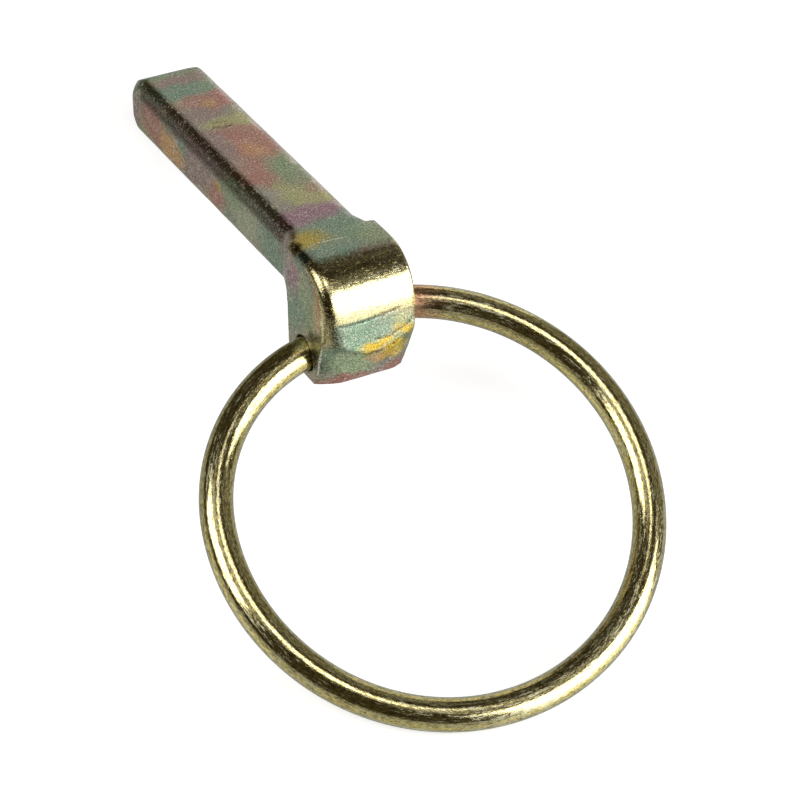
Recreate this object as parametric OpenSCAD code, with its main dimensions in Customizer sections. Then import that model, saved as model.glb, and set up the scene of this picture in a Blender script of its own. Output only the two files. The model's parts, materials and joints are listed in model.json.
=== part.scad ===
// Lynch pin: a forged pin with an L-shaped head, and a sprung wire ring hinged in its leg.
// The pin's own axes: X across the head, Y along the shank to the tip, Z up through the head's top,
// with y = 0 on the front of the head and z = 0 on the top face. lie() sets it down on a table.
// Lengths are in millimetres and angles in degrees.

/* [Shank] */
// Length of the pin from the front of the head to the tip
pin_length = 57.2; // [45:0.1:75]
// Width of the shank
shank_w = 9.8; // [8:0.1:11]
// Thickness of the shank from top to underside
shank_t = 7.7; // [6.5:0.1:9.5]
// Radius of the shank's long edges
shank_edge_r = 1.9; // [1:0.1:2.6]
// Length of the tip's bevels at the top and the underside
tip_bevel_l = 2.2; // [1:0.1:5]
// Depth of the tip's bevels at the top and the underside
tip_bevel_d = 1.1; // [0.4:0.1:2]
// Length of the tip's bevels at the sides
tip_side_l = 1.2; // [0.6:0.1:5]
// Depth of the tip's bevels at the sides
tip_side_d = 0.6; // [0.3:0.1:2]
// Radius from the shank's middle to which the tip's corners are cut at its end
tip_corner_r = 4.5; // [4:0.1:5]

/* [Head] */
// Width of the head
head_w = 11.8; // [11.2:0.1:14]
// Thickness of the leg along the shank
leg_t = 10.2; // [9.5:0.1:13]
// Height of the leg from the top face to its foot
leg_h = 16.2; // [15.6:0.1:22]
// Outside radius of the bend from the top face to the front of the leg
bend_r = 5.6; // [3:0.1:6.4]
// Radius of the head's outer edge on the left
left_edge_r = 1.4; // [0.5:0.1:1.8]
// Radius of the head's outer edge on the right
right_edge_r = 0.4; // [0.2:0.1:1.8]
// Radius of the edges at the back of the leg
back_edge_r = 0.3; // [0.1:0.1:1.5]
// Length over which the shank widens into the head
flare_l = 2.9; // [2:0.1:6]
// Radius of the fillet between the shank's underside and the back of the leg
root_fillet_r = 1.8; // [0.5:0.1:2.5]

/* [Foot of the leg] */
// Height above the foot at which the front bevel starts, at mid width
foot_bevel_h = 4.8; // [2:0.1:6]
// Angle of the front bevel from the leg's front face
foot_bevel_a = 25; // [15:1:40]
// Radius of the crown across the front bevel
foot_crown_r = 13; // [8:0.5:30]
// Place of the crown's ridge to the right of the middle
foot_crown_x = 0.7; // [-1:0.1:1]
// Size of the small bevels at the foot's front and back edges
foot_edge = 0.55; // [0.3:0.05:0.8]
// Height of the bevels on the sides of the foot
foot_side_h = 3; // [2:0.1:6]
// Depth of the bevels on the sides of the foot
foot_side_d = 0.3; // [0.2:0.1:0.9]

/* [Ring hole] */
// Distance of the hole's middle behind the front of the head
hole_y = 6.5; // [6:0.05:7.2]
// Depth of the hole's middle below the top face
hole_z = 11.75; // [11:0.05:12]
// Angle by which the hole climbs from left to right
hole_rise = 10.1; // [4:0.1:12]
// Angle by which the hole runs back from left to right
hole_sweep = 5.8; // [2:0.1:8]
// Clearance of the wire in the hole, all round
hole_clearance = 0.2; // [0.1:0.05:0.4]

/* [Ring] */
// Diameter of the ring's wire
wire_d = 4; // [3:0.1:4.4]
// Radius of the ring to the middle of its wire
ring_r = 25.5; // [22:0.1:32]
// Height of the hoop's circle past the hole's axis
ring_over = 2.25; // [1.5:0.05:3]
// Shift of the ring's centre along the hole from the middle of the leg
ring_shift = -2.85; // [-4:0.05:-1]
// Amount by which the long turn into the hole on the left is tighter than the hoop
left_turn_less = 3.5; // [3.2:0.1:6]
// Radius of the short turn into the hole on the right
right_turn_r = 5.9; // [4:0.1:6.5]
// Gap between the wire's two ends inside the leg
end_gap = 1; // [0.4:0.1:3]
// Amount by which the wire draws thinner, in radius, at each change of its bend towards its ends
wire_draw = 0.02; // [0.02:0.01:0.06]

/* [Pose] */
// Angle of the ring below the line of the shank
ring_drop = 34.1; // [25:0.1:50]
// Sideways lean of the pin as it lies on a table
lie_roll = 3; // [0:0.1:6]

/* [Hidden] */
$fn = 96;
pin_colour = "#8f8462";
ring_colour = "#9c8a45";
// Wire's radius in the hoop, in the turns and at the ends
wire_r = wire_d / 2;
turn_wire_r = wire_r - wire_draw;
end_wire_r = turn_wire_r - wire_draw;
// Distance from the hole's axis to the hoop's centre, and radius of the long turn on the left
ring_set = ring_r - ring_over;
left_turn_r = ring_r - left_turn_less;
// Length by which each thinner stretch of wire starts inside the one before it
wire_lap = 0.3;
// Hole's radius and its middle, and the middle of the shank's section at the shoulder
hole_r = wire_r + hole_clearance;
hole_mid = [0, hole_y, -hole_z];
root_mid = [0, leg_t, -shank_t / 2];
// Angle of the flare's flanks, slope of the tip's corner cut, and setback of the front bevel at the foot
flare_a = atan((head_w - shank_w) / 2 / flare_l);
tip_corner_s = tip_bevel_d / tip_bevel_l;
foot_front = foot_bevel_h * tan(foot_bevel_a);
// Length by which a cutting shape reaches past the part
past = 5;
// Steepest slope at which the pin may lie, and the number of halvings that find its slope
steepest = 60;
halvings = 24;

// Vectors turned about one axis
function turn_x(v, a) = [v.x, v.y * cos(a) - v.z * sin(a), v.y * sin(a) + v.z * cos(a)];
function turn_y(v, a) = [v.x * cos(a) + v.z * sin(a), v.y, v.z * cos(a) - v.x * sin(a)];
function turn_z(v, a) = [v.x * cos(a) - v.y * sin(a), v.x * sin(a) + v.y * cos(a), v.z];

// A vector of the ring's own axes, X along the hole and -Y towards the ring, in the pin's axes
function from_ring(v) = turn_z(turn_y(turn_x(v, ring_drop), -hole_rise), hole_sweep);

// Table's upward normal in the pin's axes when the shank slopes down to its tip by an angle
function table_up(slope) = turn_x(turn_y([0, 0, 1], -lie_roll), slope);

// Lowest points of the tip's edge and of the ring above a plane square to that normal
function tip_low(up) =
    [shank_w / 2 - shank_edge_r, pin_length - tip_bevel_l, shank_edge_r - shank_t] * up
    - shank_edge_r * norm([up.x, up.z]);
function ring_low(up) =
    (hole_mid + from_ring([ring_shift, -ring_set, 0])) * up
    - ring_r * norm(cross(from_ring([0, 0, 1]), up)) - wire_r;

// Slope at which tip and ring touch the table together, found by halving the interval
function table_slope(low, high, steps) =
    let (middle = (low + high) / 2, up = table_up(middle))
    steps == 0 ? middle
    : tip_low(up) > ring_low(up) ? table_slope(middle, high, steps - 1)
    : table_slope(low, middle, steps - 1);

lie_slope = table_slope(0, steepest, halvings);

// Sets the pin's axes down on a table, with the origin where the shank meets the head
module lie() {
    rotate([-lie_slope, lie_roll, 0])
        translate(-root_mid)
            children();
}

// Turns the ring's own axes to the hole
module at_hole() {
    translate(hole_mid)
        rotate([0, -hole_rise, hole_sweep])
            children();
}

// Waste outside a rounded corner at the origin
module corner_waste(r) {
    difference() {
        translate([-past, -past])
            square(r + past);
        translate([r, r])
            circle(r);
    }
}

// Rectangle from [0, 0] with rounded corners: near left, near right, far left and far right
module round_rect(size, radii) {
    difference() {
        square(size);
        for (x = [0, 1], y = [0, 1])
            if (radii[x + 2 * y] > 0)
                translate([x * size.x, y * size.y])
                    mirror([x, 0])
                        mirror([0, y])
                            corner_waste(radii[x + 2 * y]);
    }
}

// Bar along Y from y0 to y1 with the shank's section, its left side on x = 0 and its top on z = 0
module bar(w, y0, y1) {
    translate([0, y1, -shank_t])
        rotate([90, 0, 0])
            linear_extrude(y1 - y0)
                round_rect([w, shank_t], [for (corner = [0:3]) shank_edge_r]);
}

// Outline of the tip across a width, bevelled on both sides
module tip_outline(width, bevel_l, bevel_d) {
    end_x = width / 2 - bevel_d;
    back_x = end_x + bevel_d * pin_length / bevel_l;
    polygon([[-back_x, 0], [back_x, 0], [end_x, pin_length], [-end_x, pin_length]]);
}

module shank() {
    intersection() {
        translate([-shank_w / 2, 0, 0])
            bar(shank_w, (bend_r + leg_t) / 2, pin_length);
        linear_extrude(4 * shank_t, center = true)
            tip_outline(shank_w, tip_side_l, tip_side_d);
        translate([0, 0, -shank_t / 2])
            rotate([0, 90, 0])
                linear_extrude(2 * shank_w, center = true)
                    tip_outline(shank_t, tip_bevel_l, tip_bevel_d);
        translate([0, 0, -shank_t / 2])
            rotate([-90, 0, 0])
                cylinder(r1 = tip_corner_r + pin_length * tip_corner_s, r2 = tip_corner_r, h = pin_length);
    }
}

// Flare that widens the shank into the head: the overlap of two bars, one along each flank
module flare() {
    intersection() {
        for_both_flanks()
            translate([-head_w / 2, leg_t, 0])
                rotate([0, 0, -flare_a])
                    bar(2 * head_w, -head_w, 2 * head_w);
        translate([-head_w, leg_t, -shank_t - past])
            cube([2 * head_w, 2 * flare_l, shank_t + 2 * past]);
    }
}

module for_both_flanks() {
    intersection() {
        children();
        mirror([1, 0, 0])
            children();
    }
}

// Head's straight top, from the bend back to the leg's back face
module head_top() {
    translate([-head_w / 2, leg_t, -shank_t])
        rotate([90, 0, 0])
            linear_extrude(leg_t - bend_r)
                round_rect([head_w, shank_t], [0, 0, left_edge_r, right_edge_r]);
}

// Quarter turn from the top face to the front of the leg
module head_bend() {
    translate([-head_w / 2, bend_r, -bend_r])
        rotate([0, 90, 0])
            rotate([0, 0, 180])
                rotate_extrude(angle = 90)
                    mirror([1, -1])
                        round_rect([head_w, bend_r], [0, 0, left_edge_r, right_edge_r]);
}

// Outline of the leg's foot between two sides, with a bevel along each
module foot_outline(side0, side1, bevel_d, bevel_h) {
    reach = bevel_d * leg_h / bevel_h;
    polygon([
        [side0 + bevel_d - reach, 0], [side0 + bevel_d, -leg_h],
        [side1 - bevel_d, -leg_h], [side1 - bevel_d + reach, 0],
    ]);
}

// Leg below the bend: a round-edged block, bevelled round its foot and crowned at the front
module leg() {
    intersection() {
        translate([-head_w / 2, 0, -leg_h])
            linear_extrude(leg_h - bend_r)
                round_rect([head_w, leg_t], [left_edge_r, right_edge_r, back_edge_r, back_edge_r]);
        translate([0, 0, foot_bevel_h - leg_h])
            rotate([foot_bevel_a, 0, 0])
                translate([foot_crown_x, foot_crown_r, -2 * leg_h])
                    cylinder(r = foot_crown_r, h = 4 * leg_h);
        rotate([90, 0, 0])
            linear_extrude(4 * leg_t, center = true)
                foot_outline(-head_w / 2, head_w / 2, foot_side_d, foot_side_h);
        rotate([90, 0, 90])
            linear_extrude(2 * head_w, center = true)
                foot_outline(foot_front, leg_t, foot_edge, foot_edge);
    }
}

// Fillet under the shank against the back of the leg
module root_fillet() {
    width = head_w - 2 * shank_edge_r;
    translate([-width / 2, leg_t, -shank_t])
        rotate([0, 90, 0])
            linear_extrude(width)
                difference() {
                    square(root_fillet_r);
                    translate([root_fillet_r, root_fillet_r])
                        circle(root_fillet_r);
                }
}

module pin() {
    color(pin_colour)
        lie()
            difference() {
                union() {
                    shank();
                    flare();
                    head_top();
                    head_bend();
                    leg();
                    root_fillet();
                }
                at_hole()
                    rotate([0, 90, 0])
                        cylinder(r = hole_r, h = 2 * head_w, center = true);
            }
}

// Angle of an arc from its length
function arc_angle(length, r) = length / r * 180 / PI;

// Angle that a turn of radius r covers between the ring's main arc and the hole's axis
function turn_angle(r) = acos((ring_set - r) / (ring_r - r));

// Place along the hole, from the ring's centre, where that turn meets the hole's axis
function turn_foot(r) = (ring_r - r) * sin(turn_angle(r));

// Wire bent to a radius about the local origin, through an angle from a start angle
module wire_arc(r, thickness_r, start, angle) {
    rotate([0, 0, start])
        rotate_extrude(angle = angle)
            translate([r, 0])
                circle(thickness_r);
}

// Straight end of the wire in the hole, between two places along it
module wire_end(x0, x1) {
    translate([x0, 0, 0])
        rotate([0, 90, 0])
            cylinder(r = end_wire_r, h = x1 - x0);
}

module ring() {
    left_a = turn_angle(left_turn_r);
    right_a = turn_angle(right_turn_r);
    left_lap_a = arc_angle(wire_lap, left_turn_r);
    right_lap_a = arc_angle(wire_lap, right_turn_r);
    left_x = ring_shift - turn_foot(left_turn_r);
    right_x = ring_shift + turn_foot(right_turn_r);
    color(ring_colour)
        lie()
            at_hole()
                rotate([ring_drop, 0, 0])
                    union() {
                        translate([ring_shift, -ring_set, 0])
                            wire_arc(ring_r, wire_r, 90 + left_a, 360 - left_a - right_a);
                        translate([left_x, -left_turn_r, 0])
                            wire_arc(left_turn_r, turn_wire_r, 90, left_a + left_lap_a);
                        translate([right_x, -right_turn_r, 0])
                            wire_arc(right_turn_r, turn_wire_r, 90, -right_a - right_lap_a);
                        wire_end(left_x - wire_lap, -end_gap / 2);
                        wire_end(end_gap / 2, right_x + wire_lap);
                    }
}

pin();
ring();
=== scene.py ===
"""Looks of a lynch pin: a forged, zinc-plated pin with an iridescent yellow film, and its sprung wire ring.

Sizes are in millimetres where a name ends in _mm or a docstring says so, and in metres otherwise. The pin's
own axes are X across the head, Y along the shank to the tip and Z up through the head's top face.
"""

import json
import logging
import math
from dataclasses import dataclass
from enum import Enum

import bmesh
import bpy
import numpy as np
from mathutils import Color, Matrix, Vector, noise


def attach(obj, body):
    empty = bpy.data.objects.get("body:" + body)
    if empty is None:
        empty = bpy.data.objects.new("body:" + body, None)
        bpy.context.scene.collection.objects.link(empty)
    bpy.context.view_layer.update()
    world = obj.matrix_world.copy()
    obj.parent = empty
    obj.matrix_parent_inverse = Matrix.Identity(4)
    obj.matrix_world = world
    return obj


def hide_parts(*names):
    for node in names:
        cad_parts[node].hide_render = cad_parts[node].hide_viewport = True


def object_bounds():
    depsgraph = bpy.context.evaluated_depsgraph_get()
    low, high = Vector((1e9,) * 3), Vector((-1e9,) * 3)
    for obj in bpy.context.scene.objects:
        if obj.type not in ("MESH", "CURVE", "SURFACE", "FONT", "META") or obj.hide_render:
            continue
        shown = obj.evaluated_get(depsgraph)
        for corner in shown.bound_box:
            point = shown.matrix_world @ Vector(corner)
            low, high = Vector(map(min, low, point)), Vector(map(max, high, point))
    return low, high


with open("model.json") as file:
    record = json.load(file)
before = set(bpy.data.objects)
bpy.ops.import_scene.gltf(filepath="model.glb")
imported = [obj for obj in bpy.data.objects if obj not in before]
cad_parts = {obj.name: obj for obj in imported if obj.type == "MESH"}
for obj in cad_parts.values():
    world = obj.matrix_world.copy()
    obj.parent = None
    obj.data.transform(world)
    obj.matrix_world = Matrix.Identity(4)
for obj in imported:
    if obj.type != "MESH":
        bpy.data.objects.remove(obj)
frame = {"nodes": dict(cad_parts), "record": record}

logging.basicConfig(level=logging.INFO, format="%(message)s")
log = logging.getLogger("lynch_pin")

MM = 0.001
SHADE_MAX = 255
CAD_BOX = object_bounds()
WHITE = (1.0, 1.0, 1.0, 1.0)

Tree = bpy.types.NodeTree
Node = bpy.types.Node
Socket = bpy.types.NodeSocket
Triple = tuple[float, float, float]
Colour = tuple[float, float, float, float]
Shade = tuple[int, int, int]


class Slot(Enum):
    """Material slots of the record."""

    PIN = "pin_steel"
    RING = "ring_wire"


class Attribute(Enum):
    """Mesh attributes that the materials read."""

    PIN_MM = "pin_mm"
    FILM_AND_RIM_REFLECTION = "film"
    POLISH = "polish"
    DIRT_AND_SHADE = "dirt_and_shade"
    WIRE_MM = "wire_mm"


class Tone(Enum):
    """Interference colours of the yellow passivated film, and one painted reflection, as display colours."""

    TEAL = (134, 160, 138)
    GREY = (168, 162, 148)
    MAUVE = (166, 145, 138)
    PURPLE = (170, 131, 146)
    PINK = (190, 134, 122)
    ORANGE = (220, 172, 112)
    YELLOW = (196, 172, 62)
    GOLD = (224, 184, 40)
    OLIVE = (187, 184, 132)
    GREEN = (148, 168, 128)
    # Colour of the painted reflection along the shank's top right edge.
    PAINTED_RIM_REFLECTION = (238, 218, 206)
    STRAW = (226, 217, 160)
    BRASS = (203, 197, 136)
    COPPER = (216, 150, 122)
    BRONZE = (200, 176, 122)
    SEA = (176, 182, 152)
    LEMON = (255, 212, 42)
    MINT = (172, 194, 152)

    @property
    def linear(self) -> Colour:
        """The tone as a linear colour.

        Returns:
            Linear red, green, blue and an alpha of 1.
        """
        return srgb(*self.value)


@dataclass(frozen=True)
class Stain:
    """A stain in the plating's film, centred on the pin. The pale strip along the shank's top right edge is
    a painted reflection instead.

    Attributes:
        at: centre in the pin's own axes, in millimetres.
        reach: half sizes along those axes, in millimetres.
        tone: colour of the film there.
    """

    at: Triple
    reach: Triple
    tone: Tone


SHANK_TOP = (
    Stain((0.0, 56.2, -0.8), (6.0, 1.5, 1.5), Tone.TEAL),
    # Painted reflection: a pale strip along the shank's top right edge, where it mirrors the table.
    Stain((4.7, 34.0, -0.7), (0.9, 26.0, 1.1), Tone.PAINTED_RIM_REFLECTION),
    Stain((0.8, 52.6, 0.0), (3.2, 0.9, 2.0), Tone.MAUVE),
    Stain((-1.0, 49.9, 0.0), (3.2, 1.6, 2.0), Tone.TEAL),
    Stain((0.9, 45.9, 0.0), (2.8, 1.8, 2.0), Tone.PINK),
    Stain((0.6, 45.4, 0.0), (0.9, 0.9, 1.0), Tone.YELLOW),
    Stain((-1.8, 43.2, 0.0), (2.8, 2.0, 2.0), Tone.MAUVE),
    Stain((-0.7, 40.0, 0.0), (1.7, 1.0, 1.5), Tone.OLIVE),
    Stain((2.3, 39.8, 0.0), (1.6, 1.2, 1.5), Tone.OLIVE),
    Stain((-3.2, 34.5, 0.0), (1.8, 4.5, 2.0), Tone.MAUVE),
    Stain((1.0, 34.3, 0.0), (2.6, 3.6, 2.0), Tone.PINK),
    Stain((0.7, 32.4, 0.0), (1.3, 1.8, 1.5), Tone.ORANGE),
    Stain((-1.4, 27.0, 0.0), (2.0, 3.4, 2.0), Tone.PINK),
    Stain((1.8, 25.0, 0.0), (2.2, 3.0, 2.0), Tone.GREEN),
    Stain((-0.3, 20.7, 0.0), (1.7, 1.6, 2.0), Tone.OLIVE),
    Stain((1.8, 18.0, 0.0), (2.2, 1.3, 2.0), Tone.OLIVE),
    Stain((-3.0, 20.5, 0.0), (1.4, 2.4, 2.0), Tone.GREY),
    Stain((-0.9, 14.6, 0.0), (3.4, 1.7, 2.0), Tone.PURPLE),
)
SHANK_LEFT = (
    Stain((-4.9, 49.8, -3.6), (2.0, 2.4, 2.0), Tone.PINK),
    Stain((-4.9, 45.0, -4.5), (2.0, 3.0, 1.6), Tone.ORANGE),
    Stain((-4.9, 41.1, -2.6), (1.5, 1.4, 1.0), Tone.TEAL),
    Stain((-4.9, 36.8, -3.6), (2.0, 3.2, 2.4), Tone.MAUVE),
    Stain((-4.9, 31.8, -4.6), (2.0, 2.0, 1.6), Tone.PINK),
    Stain((-4.9, 30.5, -2.8), (1.5, 0.9, 0.8), Tone.YELLOW),
    Stain((-4.9, 26.0, -2.4), (1.5, 3.0, 1.4), Tone.GREEN),
    Stain((-4.9, 22.5, -4.2), (2.0, 3.5, 3.0), Tone.SEA),
    Stain((-4.9, 16.5, -4.2), (2.0, 3.0, 3.0), Tone.TEAL),
    Stain((-4.5, 56.6, -4.2), (1.5, 1.6, 2.4), Tone.MAUVE),
)
HEAD_TOP = (
    Stain((1.6, 10.8, 0.0), (4.0, 2.3, 2.0), Tone.TEAL),
    Stain((3.4, 8.0, 0.0), (2.6, 2.2, 2.0), Tone.GREEN),
    Stain((4.2, 6.4, -0.1), (2.2, 1.2, 2.0), Tone.GREEN),
    Stain((-2.9, 9.4, 0.0), (1.9, 1.6, 1.5), Tone.YELLOW),
    Stain((-0.8, 6.4, 0.0), (3.5, 1.5, 2.0), Tone.TEAL),
)
LEG_LEFT = (
    Stain((-5.9, 11.0, -2.6), (2.0, 1.8, 2.2), Tone.GREY),
    Stain((-5.9, 8.6, -4.2), (2.0, 1.3, 1.4), Tone.PURPLE),
    Stain((-5.9, 7.8, -7.2), (2.0, 2.2, 2.4), Tone.TEAL),
    Stain((-5.9, 4.4, -5.8), (2.0, 1.6, 2.4), Tone.GREEN),
    Stain((-5.9, 1.9, -4.8), (2.0, 1.0, 3.2), Tone.ORANGE),
    Stain((-5.9, 3.3, -8.6), (2.0, 1.4, 1.5), Tone.OLIVE),
)
LEG_FRONT = (
    Stain((-0.8, 0.0, -8.0), (5.5, 1.5, 1.6), Tone.TEAL),
    Stain((0.9, 0.0, -10.2), (1.5, 1.5, 0.7), Tone.GOLD),
    Stain((4.4, 0.0, -9.0), (1.1, 1.5, 0.7), Tone.GOLD),
    Stain((3.8, 0.0, -7.5), (1.3, 1.5, 0.8), Tone.OLIVE),
    Stain((0.9, 0.4, -12.2), (1.3, 1.2, 0.6), Tone.ORANGE),
    Stain((3.1, 0.5, -12.1), (1.6, 1.2, 0.9), Tone.LEMON),
    Stain((-2.8, 0.9, -12.8), (2.2, 1.5, 1.9), Tone.MINT),
    Stain((-5.2, 1.2, -12.8), (1.0, 1.5, 2.6), Tone.TEAL),
    Stain((-0.3, 2.2, -15.7), (5.0, 1.2, 0.9), Tone.PINK),
)
STAINS = SHANK_TOP + SHANK_LEFT + HEAD_TOP + LEG_LEFT + LEG_FRONT
GROUND_TONES = (Tone.MAUVE, Tone.GREY, Tone.TEAL, Tone.PINK, Tone.OLIVE, Tone.GREEN)


@dataclass(frozen=True)
class DarkStroke:
    """A darkened stroke along a path: dirty grooves and marks, painted shade and painted dark reflections.

    Attributes:
        path: points in the pin's own axes, in millimetres.
        width: half width in millimetres.
        dirt_and_shade: how dark it is, from 0 to 1, for dirt and painted shade alike.
        depth: how deep it is cut, in millimetres.
    """

    path: tuple[Triple, ...]
    width: float
    dirt_and_shade: float
    depth: float = 0.0


CROWN_LINE = (
    (-4.6, 0.0, -9.0),
    (-3.4, 0.0, -10.2),
    (-0.7, 0.0, -11.4),
    (2.0, 0.0, -11.2),
    (4.1, 0.0, -10.3),
)
LEFT_BEVEL = (
    (-5.0, 6.6, -0.6),
    (-5.1, 4.6, -0.9),
    (-5.2, 2.4, -2.0),
    (-5.3, 0.6, -4.4),
    (-5.0, 0.1, -6.0),
    (-4.7, 0.0, -7.4),
    (-4.5, 0.0, -8.8),
)
DARK_STROKES = (
    DarkStroke(((-5.6, 8.1, -0.5), (-4.6, 8.9, -0.1)), 0.45, 1.0, 0.05),
    # Painted dark reflection along the head's rounded left edge, barely cut in.
    DarkStroke(LEFT_BEVEL, 0.85, 1.0, 0.02),
    # Painted dark reflection along the shank's rounded top left edge.
    DarkStroke(((-4.65, 13.0, -1.35), (-4.65, 53.0, -1.35)), 0.7, 1.0),
    # Painted dark reflection across the top of the bend, with some grime.
    DarkStroke(((-4.2, 2.9, -0.7), (4.6, 2.9, -0.7)), 1.5, 0.7),
    DarkStroke(((-1.3, 39.2, 0.0), (-0.2, 38.7, 0.0), (0.8, 38.9, 0.0)), 0.17, 0.75, 0.07),
    DarkStroke(((-0.9, 40.3, 0.0), (0.6, 40.0, 0.0)), 0.14, 0.5, 0.05),
    DarkStroke(CROWN_LINE, 0.19, 0.85, 0.07),
    DarkStroke(((0.6, 0.0, -9.6), (2.4, 0.0, -9.7), (4.6, 0.0, -8.7), (5.3, 0.0, -8.0)), 0.14, 0.7, 0.05),
    DarkStroke(((-4.3, 0.0, -6.6), (-2.6, 0.0, -6.8), (-0.4, 0.0, -6.7), (3.6, 0.0, -6.25)), 0.16, 0.9, 0.06),
    # These two strokes: painted shade of the wire on the leg's left face, beside the hole.
    DarkStroke(((-5.9, 3.4, -9.4), (-5.8, 2.6, -13.0)), 1.1, 1.0),
    DarkStroke(((-5.9, 3.9, -9.4), (-5.85, 1.6, -8.7)), 0.7, 0.95),
)


@dataclass(frozen=True)
class Scratch:
    """A thin bright scratch between two points of the pin's own axes, in millimetres."""

    start: Triple
    end: Triple
    width: float


SCRATCHES = (
    Scratch((-2.5, 8.28, 0.0), (0.9, 7.93, 0.0), 0.11),
    Scratch((-5.4, 7.9, -0.7), (-5.2, 7.6, -0.8), 0.12),
    Scratch((-5.74, 0.76, -8.0), (-5.76, 1.71, -11.0), 0.16),
    Scratch((-5.76, 1.71, -11.0), (-5.52, 3.13, -14.35), 0.16),
    Scratch((1.0, 5.2, -0.1), (1.3, 4.9, -0.2), 0.1),
)


def srgb(red: int, green: int, blue: int) -> Colour:
    """Linear colour of a display colour.

    Args:
        red: red from 0 to 255.
        green: green from 0 to 255.
        blue: blue from 0 to 255.

    Returns:
        Linear red, green, blue and an alpha of 1.
    """
    shown = Color((red / SHADE_MAX, green / SHADE_MAX, blue / SHADE_MAX))
    return *shown.from_srgb_to_scene_linear(), 1.0


@dataclass(frozen=True)
class Ramp:
    """A clamped change of values, where low becomes to_low and high becomes to_high."""

    low: float
    high: float
    to_low: float = 0.0
    to_high: float = 1.0


@dataclass(frozen=True)
class Pattern:
    """A noise pattern.

    Attributes:
        stretch: how fine it is along each axis of its coordinates.
        detail: its octaves.
        roughness: weight of the finer octaves.
    """

    stretch: Triple
    detail: float
    roughness: float = 0.5


def even(scale: float) -> Triple:
    """A pattern's stretch that is the same along all axes.

    Args:
        scale: how fine it is.

    Returns:
        The stretch.
    """
    return scale, scale, scale


@dataclass(frozen=True)
class Graph:
    """A node tree with short calls for making and joining its nodes.

    MIX_INPUTS and MIX_OUTPUT are the places of a Mix node's factor and colours among its sockets.
    """

    tree: Tree
    MIX_INPUTS = (0, 6, 7)
    MIX_OUTPUT = 2

    def node(self, kind: str, **settings: object) -> Node:
        """Makes a node.

        Args:
            kind: its type name.
            settings: values of its own properties.

        Returns:
            The node.
        """
        made = self.tree.nodes.new(kind)
        for name, value in settings.items():
            setattr(made, name, value)
        return made

    def join(self, source: object, target: Socket) -> None:
        """Links a socket to a target, or sets the target to a plain value.

        Args:
            source: output socket or value.
            target: input socket.
        """
        if isinstance(source, Socket):
            self.tree.links.new(source, target)
        else:
            target.default_value = source

    def fed(self, made: Node, *values: object) -> Node:
        """Feeds a node's inputs in their order.

        Args:
            made: the node.
            values: sockets or values.

        Returns:
            The node.
        """
        for value, target in zip(values, made.inputs):
            self.join(value, target)
        return made

    def wired(self, made: Node, **values: object) -> Node:
        """Feeds a node's inputs by name.

        Args:
            made: the node.
            values: sockets or values by input name, with _ for a space.

        Returns:
            The node.
        """
        for name, value in values.items():
            self.join(value, made.inputs[name.replace("_", " ")])
        return made

    def math(self, operation: str, *values: object, clamp: bool = False) -> Socket:
        """A Math node.

        Args:
            operation: its operation.
            values: sockets or numbers for its inputs.
            clamp: whether the result stays within 0 to 1.

        Returns:
            The result's socket.
        """
        made = self.node("ShaderNodeMath", operation=operation, use_clamp=clamp)
        return self.fed(made, *values).outputs[0]

    def vector(self, operation: str, *values: object) -> Node:
        """A Vector Math node.

        Args:
            operation: its operation.
            values: sockets or vectors for its inputs.

        Returns:
            The node, because some operations give a value and others a vector.
        """
        return self.fed(self.node("ShaderNodeVectorMath", operation=operation), *values)

    def spread(self, value: object, ramp: Ramp) -> Socket:
        """A clamped Map Range node.

        Args:
            value: socket or number to map.
            ramp: its ranges.

        Returns:
            The result's socket.
        """
        made = self.node("ShaderNodeMapRange")
        return self.fed(made, value, ramp.low, ramp.high, ramp.to_low, ramp.to_high).outputs[0]

    def noise(self, vector: object, pattern: Pattern) -> Socket:
        """A Noise Texture node.

        Args:
            vector: socket of its coordinates.
            pattern: its fineness and detail.

        Returns:
            The socket of its value.
        """
        made = self.node("ShaderNodeTexNoise")
        place = self.vector("MULTIPLY", vector, pattern.stretch).outputs[0]
        self.wired(made, Vector=place, Scale=1.0, Detail=pattern.detail, Roughness=pattern.roughness)
        return made.outputs[0]

    def mix(self, blend: str, factor: object, first: object, second: object) -> Socket:
        """A Mix Color node.

        Args:
            blend: its blend type.
            factor: socket or number of the mix.
            first: first colour.
            second: second colour.

        Returns:
            The result's socket.
        """
        made = self.node("ShaderNodeMix", data_type="RGBA", blend_type=blend)
        for place, value in zip(self.MIX_INPUTS, (factor, first, second)):
            self.join(value, made.inputs[place])
        return made.outputs[self.MIX_OUTPUT]

    def attribute(self, which: Attribute) -> Node:
        """An Attribute node.

        Args:
            which: mesh attribute to read.

        Returns:
            The node.
        """
        return self.node("ShaderNodeAttribute", attribute_name=which.value)

    def group(self, tree: Tree, **values: object) -> Node:
        """A group node.

        Args:
            tree: the group.
            values: sockets or values for its inputs by name.

        Returns:
            The node.
        """
        return self.wired(self.node("ShaderNodeGroup", node_tree=tree), **values)


def declare(tree: Tree, inputs: dict[str, str], outputs: dict[str, str]) -> None:
    """Gives a node group its sockets.

    Args:
        tree: the group.
        inputs: kind of socket by input name.
        outputs: kind of socket by output name.
    """
    for way, sockets in (("INPUT", inputs), ("OUTPUT", outputs)):
        for label, kind in sockets.items():
            tree.interface.new_socket(label, in_out=way, socket_type=f"NodeSocket{kind}")


def new_group(name: str, inputs: dict[str, str], outputs: dict[str, str]) -> tuple[Graph, dict, dict]:
    """Starts a shader node group.

    Args:
        name: the group's name.
        inputs: kind of socket by input name.
        outputs: kind of socket by output name.

    Returns:
        The group's graph, its input sockets and its output sockets by name.
    """
    tree = bpy.data.node_groups.new(name, "ShaderNodeTree")
    declare(tree, inputs, outputs)
    graph = Graph(tree)
    source = graph.node("NodeGroupInput")
    sink = graph.node("NodeGroupOutput")
    return graph, {s.name: s for s in source.outputs if s.name}, {s.name: s for s in sink.inputs if s.name}


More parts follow.
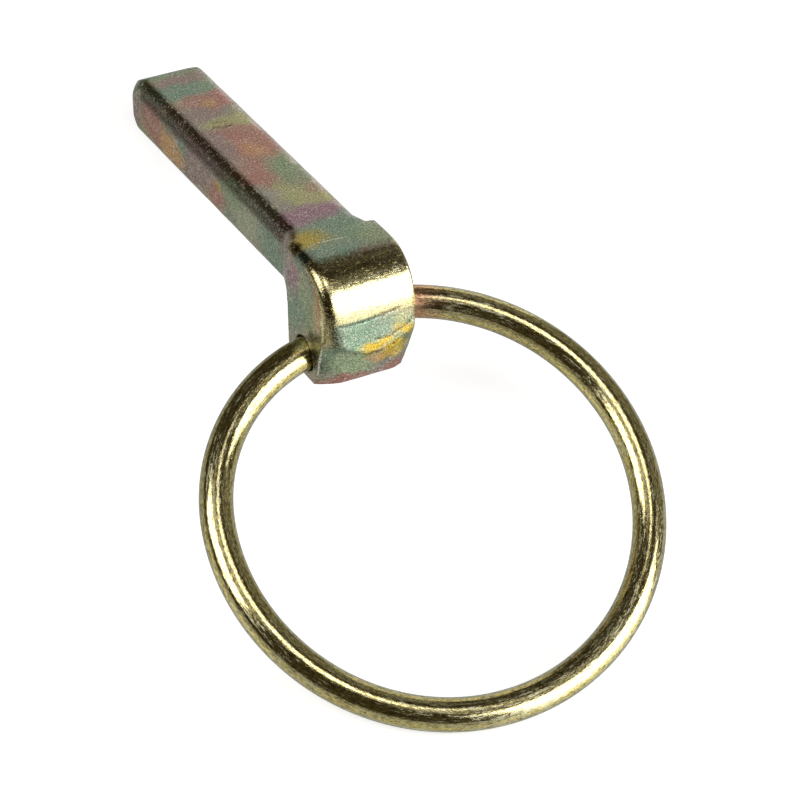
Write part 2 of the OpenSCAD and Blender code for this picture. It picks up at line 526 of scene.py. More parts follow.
@dataclass(frozen=True)
class SpeckledFilm:
    """A film of colour, shaded by its speckle and broken by bare sparks."""

    shade: Ramp = Ramp(0.0, 1.0, 0.14, 1.72)
    spark_colour: Shade = (236, 230, 212)

    def group(self) -> Tree:
        """Builds the shared group.

        Returns:
            A group from the film's colour, its speckle and its sparks to the colour that is seen.
        """
        inputs = {"Film": "Color", "Speckle": "Float", "Spark": "Float"}
        graph, source, sink = new_group("Speckled film", inputs, {"Color": "Color"})
        colour = graph.mix("MULTIPLY", 1.0, source["Film"], graph.spread(source["Speckle"], self.shade))
        graph.join(graph.mix("MIX", source["Spark"], colour, srgb(*self.spark_colour)), sink["Color"])
        return graph.tree


@dataclass(frozen=True)
class MetalGrain:
    """Fine grain of plated steel: speckle and sparks for colour, and height for relief."""

    fine: Pattern = Pattern(even(5.2), 3.0, 0.85)
    coarse: Pattern = Pattern(even(1.3), 3.0, 0.6)
    sparks: Pattern = Pattern(even(2.8), 3.0, 0.8)
    clumps: Pattern = Pattern(even(0.45), 2.0)
    clumping: float = 0.2
    speckle_ramp: Ramp = Ramp(0.34, 0.66)
    spark_ramp: Ramp = Ramp(0.67, 0.74, 0.0, 0.9)
    fine_height: float = 0.55

    def group(self) -> Tree:
        """Builds the shared group.

        Returns:
            A group from a place in millimetres to speckle, spark and height.
        """
        outputs = {"Speckle": "Float", "Spark": "Float", "Height": "Float"}
        graph, source, sink = new_group("Metal grain", {"Vector": "Vector"}, outputs)
        place = source["Vector"]
        fine = graph.noise(place, self.fine)
        coarse = graph.noise(place, self.coarse)
        clumps = graph.noise(place, self.clumps)
        sparks = graph.math("MULTIPLY_ADD", clumps, self.clumping, graph.noise(place, self.sparks))
        graph.join(graph.spread(fine, self.speckle_ramp), sink["Speckle"])
        graph.join(graph.spread(sparks, self.spark_ramp), sink["Spark"])
        graph.join(graph.math("MULTIPLY_ADD", fine, self.fine_height, coarse), sink["Height"])
        return graph.tree


@dataclass(frozen=True)
class BrokenScratch:
    """A straight scratch that skips here and there."""

    skips: Pattern = Pattern(even(3.5), 2.0)
    skip_ramp: Ramp = Ramp(0.42, 0.52)

    def group(self) -> Tree:
        """Builds the shared group.

        Returns:
            A group from a place and a stroke's ends and width to the stroke's broken mask.
        """
        inputs = {"Vector": "Vector", "Start": "Vector", "End": "Vector", "Width": "Float"}
        graph, source, sink = new_group("Scratch", inputs, {"Mask": "Float"})
        stroke = graph.vector("SUBTRACT", source["End"], source["Start"]).outputs[0]
        offset = graph.vector("SUBTRACT", source["Vector"], source["Start"]).outputs[0]
        along = graph.vector("DOT_PRODUCT", offset, stroke).outputs[1]
        square = graph.vector("DOT_PRODUCT", stroke, stroke).outputs[1]
        part = graph.math("DIVIDE", along, square, clamp=True)
        foot = graph.wired(graph.vector("SCALE", stroke), Scale=part).outputs[0]
        gap = graph.vector("SUBTRACT", offset, foot).outputs[0]
        distance = graph.vector("LENGTH", gap).outputs[1]
        near = graph.math("SUBTRACT", 1.0, graph.math("DIVIDE", distance, source["Width"]), clamp=True)
        broken = graph.spread(graph.noise(source["Vector"], self.skips), self.skip_ramp)
        graph.join(graph.math("MULTIPLY", graph.math("SQRT", near), broken), sink["Mask"])
        return graph.tree


@dataclass(frozen=True)
class SharedGroups:
    """Node groups that more than one material or effect uses."""

    film: Tree
    grain: Tree
    scratch: Tree

    @classmethod
    def make(cls) -> "SharedGroups":
        """Builds the groups once.

        Returns:
            The groups.
        """
        return cls(SpeckledFilm().group(), MetalGrain().group(), BrokenScratch().group())


def new_material(name: str) -> tuple[bpy.types.Material, Graph, Node]:
    """Starts a material.

    Args:
        name: its name.

    Returns:
        The material, its graph and its Principled shader.
    """
    material = bpy.data.materials.new(name)
    material.use_nodes = True
    return material, Graph(material.node_tree), material.node_tree.nodes["Principled BSDF"]


@dataclass(frozen=True)
class ForgedFinish:
    """Finish of the forged pin: stained film over grain, burnished on its edges, with dirt, painted shade,
    painted dark reflections and scratches.

    Fields whose names start with bend work on the rounded bend of the head alone.
    """

    burnish: Ramp = Ramp(0.0, 1.0, 0.36, 0.085)
    grain_dull: Ramp = Ramp(0.0, 1.0, 0.06, -0.04)
    spark_dull: float = 0.4
    mark_dull: float = 0.55
    # Dark brown of real dirt, and also of painted shade and painted dark reflections.
    dirt_and_shade_colour: Shade = (52, 40, 24)
    dirt_and_shade_rag: Ramp = Ramp(0.3, 0.8, 1.1, 0.5)
    bare_colour: Shade = (244, 240, 222)
    relief: float = 0.00004
    relief_strength: float = 0.8
    brush: Pattern = Pattern((0.7, 3.6, 3.6), 4.0, 0.7)
    brush_depth: Ramp = Ramp(0.0, 1.0, 0.2, 0.8)
    bend_end_mm: Ramp = Ramp(4.9, 5.7, 0.8, 0.0)
    bend_calm: float = 0.6
    bend_scuff: Pattern = Pattern((0.7, 1.5, 1.5), 2.0, 0.6)
    bend_scuff_middle: float = 0.5
    bend_scuff_line: Ramp = Ramp(0.0, 0.028, 1.0, 0.0)
    bend_scuff_skips: Ramp = Ramp(0.45, 0.55)
    bend_scuff_colour: Shade = (230, 212, 140)
    bend_scuff_dull: float = 0.45

    def material(self, groups: SharedGroups) -> bpy.types.Material:
        """Builds the material.

        Args:
            groups: shared node groups.

        Returns:
            The material.
        """
        material, graph, shader = new_material("Forged plated steel")
        place = graph.attribute(Attribute.PIN_MM).outputs["Vector"]
        grain = graph.group(groups.grain, Vector=place).outputs
        polish = graph.attribute(Attribute.POLISH).outputs["Fac"]
        brushed = graph.noise(place, self.brush)
        axes = graph.fed(graph.node("ShaderNodeSeparateXYZ"), place)
        on_bend = graph.math("MULTIPLY", polish, graph.spread(axes.outputs[1], self.bend_end_mm))
        scuffed = graph.math("MULTIPLY", self.scuffs(graph, place, brushed), on_bend)
        marks = self.marks(graph, groups, place)

        film = graph.attribute(Attribute.FILM_AND_RIM_REFLECTION).outputs["Color"]
        film = graph.mix("MIX", on_bend, film, Tone.STRAW.linear)
        speckled = graph.group(groups.film, Film=film, Speckle=grain["Speckle"], Spark=grain["Spark"])
        # Darkens the film where the mesh holds dirt and marks, and also where shade and dark reflections are
        # painted.
        dirt_and_shade = graph.attribute(Attribute.DIRT_AND_SHADE).outputs["Fac"]
        ragged = graph.math("MULTIPLY", dirt_and_shade, graph.spread(grain["Speckle"], self.dirt_and_shade_rag), clamp=True)
        colour = graph.mix("MIX", ragged, speckled.outputs[0], srgb(*self.dirt_and_shade_colour))
        colour = graph.mix("MIX", scuffed, colour, srgb(*self.bend_scuff_colour))
        colour = graph.mix("MIX", marks, colour, srgb(*self.bare_colour))

        calm = graph.math("MULTIPLY_ADD", on_bend, -self.bend_calm, 1.0)
        sparks = graph.math("MULTIPLY", grain["Spark"], calm)
        rough = graph.spread(polish, self.burnish)
        rough = graph.math("ADD", rough, graph.spread(grain["Speckle"], self.grain_dull))
        rough = graph.math("MULTIPLY_ADD", sparks, self.spark_dull, rough)
        rough = graph.math("MULTIPLY_ADD", scuffed, self.bend_scuff_dull, rough)
        rough = graph.math("MAXIMUM", rough, graph.math("MULTIPLY", marks, self.mark_dull))

        rubbed = graph.math("MULTIPLY", brushed, graph.spread(polish, self.brush_depth))
        height = graph.math("MULTIPLY_ADD", grain["Height"], calm, rubbed)
        skin = graph.node("ShaderNodeBump")
        graph.wired(skin, Height=height, Distance=self.relief, Strength=self.relief_strength)
        graph.wired(shader, Base_Color=colour, Roughness=rough, Metallic=1.0, Normal=skin.outputs[0])
        log.info("finish %s: %d nodes", material.name, len(graph.tree.nodes))
        return material

    def scuffs(self, graph: Graph, place: Socket, brushed: Socket) -> Socket:
        """Thin winding scuffs, where the middle of a noise is crossed.

        Args:
            graph: the material's graph.
            place: place on the pin in millimetres.
            brushed: the brushing's noise, which breaks the scuffs up.

        Returns:
            The socket of their mask.
        """
        chafed = graph.noise(place, self.bend_scuff)
        off_middle = graph.math("ABSOLUTE", graph.math("SUBTRACT", chafed, self.bend_scuff_middle))
        lines = graph.spread(off_middle, self.bend_scuff_line)
        return graph.math("MULTIPLY", lines, graph.spread(brushed, self.bend_scuff_skips))

    def marks(self, graph: Graph, groups: SharedGroups, place: Socket) -> Socket:
        """The single scratches.

        Args:
            graph: the material's graph.
            groups: shared node groups.
            place: place on the pin in millimetres.

        Returns:
            The socket of their mask.
        """
        marks = 0.0
        for mark in SCRATCHES:
            ends = {"Start": mark.start, "End": mark.end, "Width": mark.width}
            stroke = graph.group(groups.scratch, Vector=place, **ends)
            marks = graph.math("MAXIMUM", marks, stroke.outputs["Mask"])
        return marks


@dataclass(frozen=True)
class WireFinish:
    """Finish of the drawn wire: glossy brassy film, scuffed matt and pitted dark along the drawing marks.

    The sheens are the film's colours by how far the wire's skin turns away from the eye.
    """

    broad: Pattern = Pattern((0.55, 4.0, 4.0), 4.0, 0.7)
    thin: Pattern = Pattern((2.0, 8.5, 8.5), 3.0, 0.7)
    cloud: Pattern = Pattern((0.07, 0.35, 0.35), 3.0)
    grain_stretch: Triple = (0.4, 1.0, 1.0)
    olive_clouds: Ramp = Ramp(0.35, 0.65, 0.0, 0.8)
    sheens: tuple[tuple[Tone, Ramp], ...] = (
        (Tone.BRONZE, Ramp(0.1, 0.35, 0.5, 0.0)),
        (Tone.GOLD, Ramp(0.25, 0.42, 0.0, 0.45)),
        (Tone.SEA, Ramp(0.4, 0.6, 0.0, 0.8)),
    )
    broad_wear: float = 0.55
    thin_wear: float = 0.45
    cloud_wear: Ramp = Ramp(0.3, 0.7, -0.04, 0.04)
    scuff_ramp: Ramp = Ramp(0.51, 0.63)
    scuff_colour: Shade = (208, 205, 174)
    pit_ramp: Ramp = Ramp(0.1, 0.2, 0.0, 0.6)
    pit_colour: Shade = (64, 54, 32)
    copper_from_mm: float = 13.0
    copper_full_mm: float = 8.0
    copper_share: float = 0.9
    copper_scuff: float = 0.25
    copper_dull: float = 0.4
    gloss: float = 0.11
    matt: float = 0.42
    relief: float = 0.00002
    relief_strength: float = 0.7

    def material(self, groups: SharedGroups, length_mm: float) -> bpy.types.Material:
        """Builds the material.

        Args:
            groups: shared node groups.
            length_mm: length of the wire, to find its ends.

        Returns:
            The material.
        """
        material, graph, shader = new_material("Drawn plated wire")
        place = graph.attribute(Attribute.WIRE_MM).outputs["Vector"]
        broad = graph.noise(place, self.broad)
        thin = graph.noise(place, self.thin)
        cloud = graph.noise(place, self.cloud)
        stretched = graph.vector("MULTIPLY", place, self.grain_stretch).outputs[0]
        speckle = graph.group(groups.grain, Vector=stretched).outputs["Speckle"]
        axes = graph.fed(graph.node("ShaderNodeSeparateXYZ"), place)
        start, full = length_mm - self.copper_from_mm, length_mm - self.copper_full_mm
        coppery = graph.spread(axes.outputs[0], Ramp(start, full, 0.0, self.copper_share))

        olive = graph.spread(cloud, self.olive_clouds)
        film = graph.mix("MIX", olive, Tone.BRASS.linear, Tone.OLIVE.linear)
        facing = graph.node("ShaderNodeLayerWeight").outputs["Facing"]
        for tone, ramp in self.sheens:
            film = graph.mix("MIX", graph.spread(facing, ramp), film, tone.linear)
        film = graph.mix("MIX", coppery, film, Tone.COPPER.linear)
        colour = graph.group(groups.film, Film=film, Speckle=speckle, Spark=0.0).outputs[0]
        thin_part = graph.math("MULTIPLY", thin, self.thin_wear)
        worn = graph.math("ADD", graph.math("MULTIPLY", broad, self.broad_wear), thin_part)
        clouded = graph.math("ADD", worn, graph.spread(cloud, self.cloud_wear))
        kept = graph.spread(coppery, Ramp(0.0, self.copper_share, 1.0, self.copper_scuff))
        scuffed = graph.math("MULTIPLY", graph.spread(clouded, self.scuff_ramp), kept)
        pitted = graph.spread(graph.math("SUBTRACT", thin, broad), self.pit_ramp)
        colour = graph.mix("MIX", scuffed, colour, srgb(*self.scuff_colour))
        colour = graph.mix("MIX", pitted, colour, srgb(*self.pit_colour))

        rough = graph.spread(scuffed, Ramp(0.0, 1.0, self.gloss, self.matt))
        rough = graph.math("MAXIMUM", rough, graph.math("MULTIPLY", coppery, self.copper_dull))
        skin = graph.node("ShaderNodeBump")
        graph.wired(skin, Height=worn, Distance=self.relief, Strength=self.relief_strength)
        graph.wired(shader, Base_Color=colour, Roughness=rough, Metallic=1.0, Normal=skin.outputs[0])
        log.info("finish %s: %d nodes", material.name, len(graph.tree.nodes))
        return material


def pin_axes() -> Matrix:
    """The pin's own axes, from the shank mount: the shank runs along Y, and X stays square to the row's Y.

    Returns:
        Matrix from the pin's own axes, in metres from its front top middle, to the row's.
    """
    shank = next(m for m in frame["record"]["mounts"] if m["name"] == "shank")
    along = Vector(shank["axis"]).normalized()
    across = Vector((-along.z, 0.0, along.x)).normalized()
    turn = Matrix((across, along, across.cross(along))).transposed().to_4x4()
    corner = Vector((0.0, Pin.leg_t_mm, -Pin.shank_t_mm / 2)) * MM
    return Matrix.Translation(Vector(shank["pos_m"])) @ turn @ Matrix.Translation(-corner)


def added(name: str, data: bpy.types.ID) -> bpy.types.Object:
    """A new object in the scene.

    Args:
        name: its name.
        data: its mesh, curve, light or camera.

    Returns:
        The object.
    """
    made = bpy.data.objects.new(name, data)
    bpy.context.scene.collection.objects.link(made)
    return made


def vertex_values(mesh: bpy.types.Mesh, key: str) -> np.ndarray:
    """Vectors of a mesh's vertices.

    Args:
        mesh: the mesh.
        key: co for their places, or normal.

    Returns:
        One row a vertex.
    """
    flat = np.empty(len(mesh.vertices) * 3)
    mesh.vertices.foreach_get(key, flat)
    return flat.reshape(-1, 3)


def baked(source: bpy.types.Object, name: str) -> bpy.types.Object:
    """A plain mesh object from one with modifiers.

    Args:
        source: object with modifiers, which is removed.
        name: name of the new object.

    Returns:
        The new object, in the scene.
    """
    graph = bpy.context.evaluated_depsgraph_get()
    mesh = bpy.data.meshes.new_from_object(source.evaluated_get(graph))
    bpy.data.objects.remove(source)
    return added(name, mesh)


def stroke_distance(places: np.ndarray, start: Triple, end: Triple) -> np.ndarray:
    """Distance of places from a straight stroke.

    Args:
        places: points, one a row.
        start: the stroke's start.
        end: the stroke's end.

    Returns:
        One distance a point.
    """
    first = np.array(start)
    run = np.array(end) - first
    part = np.clip((places - first) @ run / (run @ run), 0.0, 1.0)
    return np.linalg.norm(places - first - part[:, None] * run, axis=1)


@dataclass
class Pin:
    """The forged pin: its solid, softened at the edges and a little uneven as forged steel is.

    The wave fields shape the forged skin, warp and fray move the outlines of the stains, cloud_mm to mottle
    set the ground tones, and the stain fields set how stains fade. An edge is burnished where no axis holds
    more than edge_from of its normal, and the bend within front_mm of the front, down to bend_end_mm.
    """

    leg_t_mm: float = 10.2
    shank_t_mm: float = 7.7
    weld: float = 1e-6
    voxel_mm: float = 0.19
    smooth_factor: float = 0.5
    smoothing: int = 5
    wave_mm: float = 0.035
    wave_length_mm: float = 3.2
    wave_level: float = 0.35
    seed: int = 1
    warp_mm: float = 0.9
    warp_length_mm: float = 1.7
    fray_mm: float = 0.45
    fray_length_mm: float = 0.6
    dirt_and_shade_fray_mm: float = 0.12
    cloud_mm: float = 4.5
    cloud_step: Triple = (7.0, 3.0, 5.0)
    ground: float = 0.008
    mottle: float = 4.5
    stain_fall: float = 1.2
    stain_power: float = 2.4
    edge_from: float = 0.985
    edge_fade: float = 0.05
    edge_end_mm: float = 1.0
    tip_from_mm: float = 55.0
    foot_from_mm: float = -9.6
    front_mm: float = 1.2
    bend_end_mm: float = -6.5
    bend_fade_mm: float = 0.3
    piece: bpy.types.Object | None = None

    def build(self) -> None:
        """Makes the piece from the solid: remeshed in the pin's own axes, smoothed, and made uneven."""
        axes = pin_axes()
        mesh = frame["nodes"]["pin"].data.copy()
        mesh.transform(axes.inverted())
        shell = bmesh.new()
        shell.from_mesh(mesh)
        bmesh.ops.remove_doubles(shell, verts=shell.verts, dist=self.weld)
        shell.to_mesh(mesh)
        shell.free()
        draft = added("pin_draft", mesh)
        remesh = draft.modifiers.new("Even skin", "REMESH")
        remesh.mode = "VOXEL"
        remesh.voxel_size = self.voxel_mm * MM
        smooth = draft.modifiers.new("Soft edges", "SMOOTH")
        smooth.factor = self.smooth_factor
        smooth.iterations = self.smoothing
        self.piece = baked(draft, "forged_pin")
        self.roughen()
        self.stain()
        self.piece.data.transform(axes)
        self.piece.data.shade_smooth()
        log.info("forged_pin: %d faces", len(self.piece.data.polygons))

    def dark_strokes(self, places: np.ndarray) -> tuple[np.ndarray, np.ndarray]:
        """Darkening and depth of the dark strokes, for dirt and painted shade alike.

        Args:
            places: points in millimetres, one a row.

        Returns:
            Darkening from 0 to 1 and depth in millimetres, one of each a point.
        """
        dirt_and_shade = np.zeros(len(places))
        depth = np.zeros(len(places))
        for dark_stroke in DARK_STROKES:
            legs = zip(dark_stroke.path, dark_stroke.path[1:])
            gap = np.min([stroke_distance(places, a, b) for a, b in legs], axis=0) / dark_stroke.width
            share = np.exp(-(gap**2))
            dirt_and_shade = np.maximum(dirt_and_shade, dark_stroke.dirt_and_shade * share)
            depth = np.maximum(depth, dark_stroke.depth * share)
        return dirt_and_shade, depth

    def roughen(self) -> None:
        """Moves the skin in a little, as forging leaves it, and cuts in the dark strokes that have depth."""
        places = vertex_values(self.piece.data, "co") / MM
        waves = np.array([noise.noise(Vector(p) / self.wave_length_mm) for p in places])
        _, depth = self.dark_strokes(places)
        inward = np.minimum(waves - self.wave_level, 0.0) * self.wave_mm - depth
        normals = vertex_values(self.piece.data, "normal")
        moved = (places + normals * inward[:, None]) * MM
        self.piece.data.vertices.foreach_set("co", moved.ravel())
        self.piece.data.update()

    def stain(self) -> None:
        """Writes the attributes that the finish reads: place, film, polish, and dirt with painted shade."""
        noise.seed_set(self.seed)
        places = vertex_values(self.piece.data, "co") / MM
        warp = np.array([noise.noise_vector(Vector(p) / self.warp_length_mm) for p in places])
        fray = np.array([noise.noise_vector(Vector(p) / self.fray_length_mm) for p in places])
        self.write(Attribute.FILM_AND_RIM_REFLECTION, self.film(places + self.warp_mm * warp + self.fray_mm * fray))
        self.write(Attribute.POLISH, self.polish(places))
        self.write(Attribute.DIRT_AND_SHADE, self.dark_strokes(places + self.dirt_and_shade_fray_mm * fray)[0])
        self.write(Attribute.PIN_MM, places)

    def film(self, places: np.ndarray) -> np.ndarray:
        """Colour of the film: clouds of the ground tones, with the stains over them, one of which is a
        painted reflection.

        Args:
            places: points in millimetres, one a row, shifted where outlines wander.

        Returns:
            One linear colour a point.
        """
        weight = np.zeros((len(places), 1))
        film = np.zeros((len(places), 4))
        step = Vector(self.cloud_step)
        for turn, tone in enumerate(GROUND_TONES):
            cloud = np.array([noise.noise(Vector(p) / self.cloud_mm + step * turn) for p in places])
            share = (self.ground * np.exp(self.mottle * cloud))[:, None]
            film += share * np.array(tone.linear)
            weight += share
        for patch in STAINS:
            gap = np.linalg.norm((places - np.array(patch.at)) / np.array(patch.reach), axis=1)
            share = np.exp(-self.stain_fall * gap**self.stain_power)[:, None]
            film += share * np.array(patch.tone.linear)
            weight += share
        return film / weight

    def polish(self, places: np.ndarray) -> np.ndarray:
        """How burnished the skin is: the edges between tip and foot, and the front of the bend.

        Args:
            places: points in millimetres, one a row.

        Returns:
            One share from 0 to 1 a point.
        """
        along, height = places[:, 1], places[:, 2]
        squareness = np.abs(vertex_values(self.piece.data, "normal")).max(axis=1)
        edge = np.clip((self.edge_from - squareness) / self.edge_fade, 0.0, 1.0)
        edge *= np.clip((self.tip_from_mm - along) / self.edge_end_mm, 0.0, 1.0)
        edge *= np.clip((height - self.foot_from_mm) / self.edge_end_mm, 0.0, 1.0)
        above = np.clip((height - self.bend_end_mm) / self.bend_fade_mm, 0.0, 1.0)
        return np.maximum(edge, (along < self.front_mm) * above)

    def write(self, which: Attribute, values: np.ndarray) -> None:
        """Stores a vertex attribute.

        Args:
            which: the attribute.
            values: one number, vector or colour a vertex.
        """
        kinds = {1: ("FLOAT", "value"), 3: ("FLOAT_VECTOR", "vector"), 4: ("FLOAT_COLOR", "color")}
        kind, key = kinds[1 if values.ndim == 1 else values.shape[1]]
        made = self.piece.data.attributes.new(which.value, kind, "POINT")
        made.data.foreach_set(key, values.astype(np.float32).ravel())

    def dress(self, groups: SharedGroups) -> None:
        """Gives the piece its finish and sets it in the frame.

        Args:
            groups: shared node groups.
        """
        self.piece.data.materials.clear()
        self.piece.data.materials.append(ForgedFinish().material(groups))
        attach(self.piece, "pin")
        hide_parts("pin")


@dataclass
class Ring:
    """The sprung ring: one wire along a hoop, with a long turn and a short turn into the leg's hole.

    The hoop's middle line passes over_mm over the hole's axis, and its middle lies shift_mm to the side of
    the leg's. The ripple pattern makes the wire uneven. Its level lies above it, so that the skin moves in.
    """

    wire_mm: float = 4.0
    hoop_r_mm: float = 25.5
    over_mm: float = 2.25
    shift_mm: float = -2.85
    left_turn_less_mm: float = 3.5
    right_turn_r_mm: float = 5.9
    end_gap_mm: float = 1.0
    step_mm: float = 0.35
    sides: int = 56
    uneven_mm: float = 0.012
    ripple: Pattern = Pattern(even(0.25 / MM), 2.0)
    ripple_level: float = 1.3
    piece: bpy.types.Object | None = None

    def path_mm(self) -> list[tuple[float, float]]:
        """Middle line of the wire in the hoop's plane, with the hole's axis as X.

        Returns:
            Points from the left end to the right end.
        """
        depth = self.hoop_r_mm - self.over_mm
        hoop = (self.shift_mm, -depth, self.hoop_r_mm)
        left_r = self.hoop_r_mm - self.left_turn_less_mm
        left_a = math.acos((depth - left_r) / (self.hoop_r_mm - left_r))
        left_x = self.shift_mm - (self.hoop_r_mm - left_r) * math.sin(left_a)
        right_r = self.right_turn_r_mm
        right_a = math.acos((depth - right_r) / (self.hoop_r_mm - right_r))
        right_x = self.shift_mm + (self.hoop_r_mm - right_r) * math.sin(right_a)
        quarter = math.pi / 2
        points = [(-self.end_gap_mm / 2, 0.0)]
        points += self.arc((left_x, -left_r, left_r), quarter, quarter + left_a)
        points += self.arc(hoop, quarter + left_a, quarter + 2 * math.pi - right_a)
        points += self.arc((right_x, -right_r, right_r), quarter - right_a, quarter)
        points.append((self.end_gap_mm / 2, 0.0))
        return points

    def arc(self, circle: Triple, start: float, end: float) -> list[tuple[float, float]]:
        """Points along an arc.

        Args:
            circle: its centre's x and y, and its radius.
            start: angle where it starts.
            end: angle where it ends.

        Returns:
            Points about one step apart, without the last.
        """
        x, y, radius = circle
        count = round(abs(end - start) * radius / self.step_mm)
        angles = (start + (end - start) * k / count for k in range(count))
        return [(x + radius * math.cos(a), y + radius * math.sin(a)) for a in angles]

    def plane(self) -> Matrix:
        """The hoop's plane, from the hinge and the middle of the ring's solid.

        Returns:
            Matrix from the hoop's own axes to the row's.
        """
        hinge = frame["record"]["behaviour"]["joints"][0]
        origin = Vector(hinge["pos_m"])
        axis = Vector(hinge["axis"]).normalized()
        spots = vertex_values(frame["nodes"]["ring"].data, "co") - np.array(origin)
        spots -= np.outer(spots @ np.array(axis), np.array(axis))
        _, _, spans = np.linalg.svd(spots, full_matrices=False)
        back = Vector(spans[0])
        if back.dot(Vector(spots.mean(axis=0))) > 0:
            back.negate()
        turn = Matrix((axis, back, axis.cross(back))).transposed().to_4x4()
        return Matrix.Translation(origin) @ turn

    def wire_nodes(self) -> Tree:
        """Geometry nodes that draw a wire along a curve and note each place along and around it.

        Returns:
            The node group.
        """
        tree = bpy.data.node_groups.new("Drawn wire", "GeometryNodeTree")
        inputs = {
            "Path": "Geometry",
            "Wire radius": "Float",
            "Sides": "Int",
            "Uneven": "Float",
            "Material": "Material",
        }
        declare(tree, inputs, {"Wire": "Geometry"})
        graph = Graph(tree)
        source = graph.node("NodeGroupInput").outputs
        path = graph.node("GeometryNodeCaptureAttribute")
        path.capture_items.new("FLOAT", "Along")
        graph.fed(path, source["Path"], graph.node("GeometryNodeSplineParameter").outputs["Length"])
        circle = graph.node("GeometryNodeCurvePrimitiveCircle")
        graph.wired(circle, Resolution=source["Sides"], Radius=source["Wire radius"])
        section = graph.node("GeometryNodeCaptureAttribute")
        section.capture_items.new("VECTOR", "Around")
        graph.fed(section, circle.outputs[0], graph.node("GeometryNodeInputPosition").outputs[0])
        wire = graph.node("GeometryNodeCurveToMesh")
        graph.wired(wire, Curve=path.outputs[0], Profile_Curve=section.outputs[0], Fill_Caps=True)
        across = graph.fed(graph.node("ShaderNodeSeparateXYZ"), section.outputs[1]).outputs
        place = graph.fed(graph.node("ShaderNodeCombineXYZ"), path.outputs[1], across[0], across[1])
        wire_mm = graph.wired(graph.vector("SCALE", place.outputs[0]), Scale=1 / MM)
        ripple = graph.noise(graph.node("GeometryNodeInputPosition").outputs[0], self.ripple)
        depth = graph.math("MULTIPLY", graph.math("SUBTRACT", ripple, self.ripple_level), source["Uneven"])
        push = graph.vector("SCALE", graph.node("GeometryNodeInputNormal").outputs[0])
        graph.wired(push, Scale=depth)
        moved = graph.node("GeometryNodeSetPosition")
        graph.wired(moved, Geometry=wire.outputs[0], Offset=push.outputs[0])
        noted = graph.node("GeometryNodeStoreNamedAttribute", data_type="FLOAT_VECTOR", domain="POINT")
        graph.wired(noted, Geometry=moved.outputs[0], Name=Attribute.WIRE_MM.value, Value=wire_mm.outputs[0])
        plain = graph.fed(graph.node("GeometryNodeRealizeInstances"), noted.outputs[0])
        coated = graph.node("GeometryNodeSetMaterial")
        graph.wired(coated, Geometry=plain.outputs[0], Material=source["Material"])
        graph.fed(graph.node("NodeGroupOutput"), coated.outputs[0])
        return tree

    def build(self, groups: SharedGroups) -> None:
        """Draws the wire along its path.

        Args:
            groups: shared node groups.
        """
        plane = self.plane()
        flat = self.path_mm()
        points = [plane @ (Vector((x, y, 0.0)) * MM) for x, y in flat]
        length_mm = sum(math.dist(a, b) for a, b in zip(flat, flat[1:]))
        curve = bpy.data.curves.new("ring_path", "CURVE")
        curve.dimensions = "3D"
        spline = curve.splines.new("POLY")
        spline.points.add(len(points) - 1)
        for knot, point in zip(spline.points, points):
            knot.co = (*point, 1.0)
        draft = added("ring_draft", curve)
        modifier = draft.modifiers.new("Drawn wire", "NODES")
        modifier.node_group = self.wire_nodes()
        values = {
            "Wire radius": self.wire_mm / 2 * MM,
            "Sides": self.sides,
            "Uneven": self.uneven_mm * MM,
            "Material": WireFinish().material(groups, length_mm),
        }
        for item in modifier.node_group.interface.items_tree:
            if item.name in values:
                modifier[item.identifier] = values[item.name]
        self.piece = baked(draft, "sprung_ring")
        self.piece.data.shade_smooth()
        log.info("sprung_ring: %d faces, wire %.0f mm long", len(self.piece.data.polygons), length_mm)

    def dress(self) -> None:
        """Sets the piece in the frame."""
        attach(self.piece, "ring")
        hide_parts("ring")


def bearing(azimuth: float, elevation: float) -> Vector:
    """Direction from the object.

    Args:
        azimuth: degrees round from the row's -Y towards +X.
        elevation: degrees above the table.

    Returns:
        A unit vector.
    """
    a, e = math.radians(azimuth), math.radians(elevation)
    return Vector((math.sin(a) * math.cos(e), -math.cos(a) * math.cos(e), math.sin(e)))


@dataclass(frozen=True)
class Softbox:
    """A flat studio light that faces the object from its azimuth and elevation."""

    name: str
    azimuth: float
    elevation: float
    width: float
    height: float
    radiance: float
    distance: float = 0.6

    def build(self) -> None:
        """Hangs the light."""
        light = bpy.data.lights.new(self.name, "AREA")
        light.shape = "RECTANGLE"
        light.size = self.width
        light.size_y = self.height
        light.energy = self.radiance * math.pi * self.width * self.height
        lamp = added(self.name, light)
        back = bearing(self.azimuth, self.elevation)
        lamp.location = back * self.distance
        lamp.rotation_mode = "QUATERNION"
        lamp.rotation_quaternion = back.to_track_quat("Z", "Y")
        log.info("light %s", self.name)


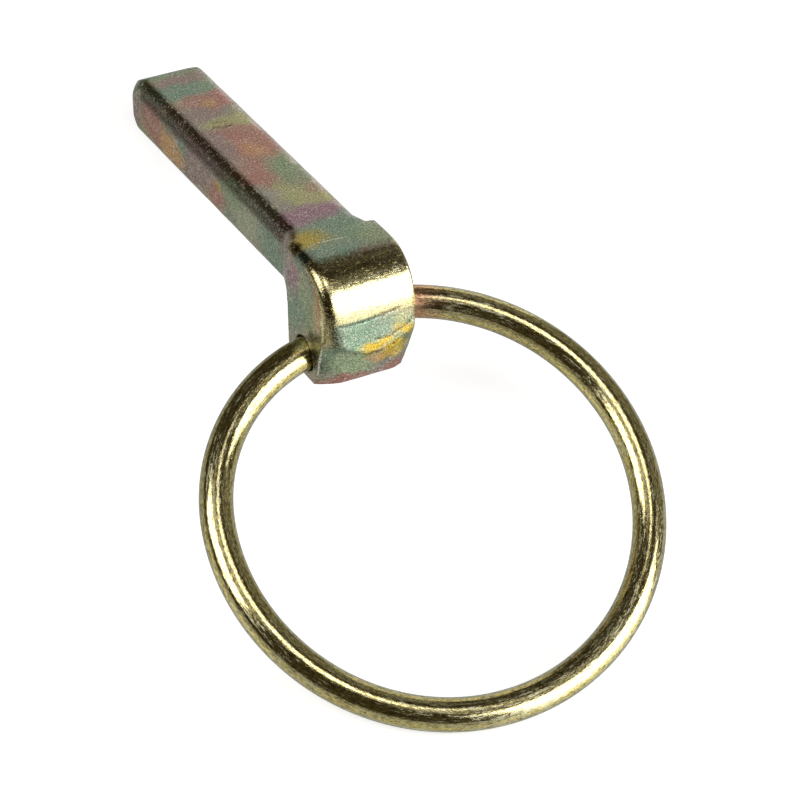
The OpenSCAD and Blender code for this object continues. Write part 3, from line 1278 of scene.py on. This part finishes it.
@dataclass(frozen=True)
class Studio:
    """White table, dim room, softboxes and the camera."""

    lights: tuple[Softbox, ...] = (
        Softbox("front_softbox", 39.0, 23.5, 0.585, 0.53, 5.0),
        Softbox("key_softbox", -104.0, 38.0, 0.37, 0.37, 5.0),
        Softbox("top_softbox", 20.0, 84.0, 0.2, 0.2, 3.8),
        Softbox("back_softbox", 146.0, 11.0, 0.42, 0.26, 0.88),
        Softbox("side_panel", 105.0, 30.0, 0.62, 0.62, 0.16),
        Softbox("left_ceiling_panel", -100.0, 68.0, 0.3, 0.25, 0.6),
        Softbox("right_ceiling_panel", 30.0, 68.0, 0.3, 0.25, 0.4),
    )
    table_size: float = 4.0
    table_colour: Colour = (0.52, 0.52, 0.52, 1.0)
    table_lift: float = 0.7
    table_glow: float = 0.06
    room_level: float = 0.06
    room_colour: Colour = (1.0, 0.83, 0.48, 1.0)
    table_satin: float = 0.28
    table_gloss: float = 0.8
    target: Triple = (0.00146, -0.01728, -0.00676)
    distance: float = 0.385
    azimuth: float = -34.79
    elevation: float = 52.82
    roll: float = 10.77
    lens: float = 149.29
    sensor: float = 36.0
    clip: tuple[float, float] = (0.01, 20.0)

    def build(self) -> None:
        """Sets up the table, the room, the lights and the camera."""
        self.table()
        self.room()
        for light in self.lights:
            light.build()
        self.camera()

    def table(self) -> None:
        """Lays the white table under the object. It looks white to the camera and still takes shadows."""
        half = self.table_size / 2
        low, _ = CAD_BOX
        mesh = bpy.data.meshes.new("table")
        corners = [(x, y, low.z) for x, y in ((-half, -half), (half, -half), (half, half), (-half, half))]
        mesh.from_pydata(corners, [], [(0, 1, 2, 3)])
        table = added("table", mesh)
        material, graph, shader = new_material("White table")
        graph.wired(shader, Base_Color=self.table_colour, Roughness=self.table_satin, Emission_Color=WHITE)
        rays = graph.node("ShaderNodeLightPath").outputs
        mirrored = graph.math("MULTIPLY", rays["Is Glossy Ray"], self.table_glow)
        lift = graph.math("MULTIPLY_ADD", rays["Is Camera Ray"], self.table_lift, mirrored)
        graph.wired(shader, Specular_IOR_Level=self.table_gloss, Emission_Strength=lift)
        mesh.materials.append(material)

    def room(self) -> None:
        """Dims the room for reflections and keeps it white behind the object."""
        world = bpy.data.worlds.new("Room")
        bpy.context.scene.world = world
        world.use_nodes = True
        graph = Graph(world.node_tree)
        ground = world.node_tree.nodes["Background"]
        seen = graph.node("ShaderNodeLightPath").outputs["Is Camera Ray"]
        level = graph.spread(seen, Ramp(0.0, 1.0, self.room_level, 1.0))
        shade = graph.mix("MIX", seen, self.room_colour, WHITE)
        graph.wired(ground, Color=shade, Strength=level)

    def camera(self) -> None:
        """Points the camera as the photograph was taken."""
        data = bpy.data.cameras.new("camera")
        data.lens = self.lens
        data.sensor_width = self.sensor
        data.clip_start, data.clip_end = self.clip
        camera = added("camera", data)
        back = bearing(self.azimuth, self.elevation)
        camera.location = Vector(self.target) + back * self.distance
        level = (-back).to_track_quat("-Z", "Y").to_matrix()
        tilt = Matrix.Rotation(math.radians(self.roll), 3, "Z")
        camera.rotation_mode = "QUATERNION"
        camera.rotation_quaternion = (level @ tilt).to_quaternion()
        bpy.context.scene.camera = camera


def main() -> None:
    """Builds the pin, the ring and the studio."""
    bpy.context.scene.view_settings.view_transform = "Standard"
    groups = SharedGroups.make()
    pin = Pin()
    pin.build()
    pin.dress(groups)
    ring = Ring()
    ring.build(groups)
    ring.dress()
    Studio().build()


if __name__ == "__main__":
    main()
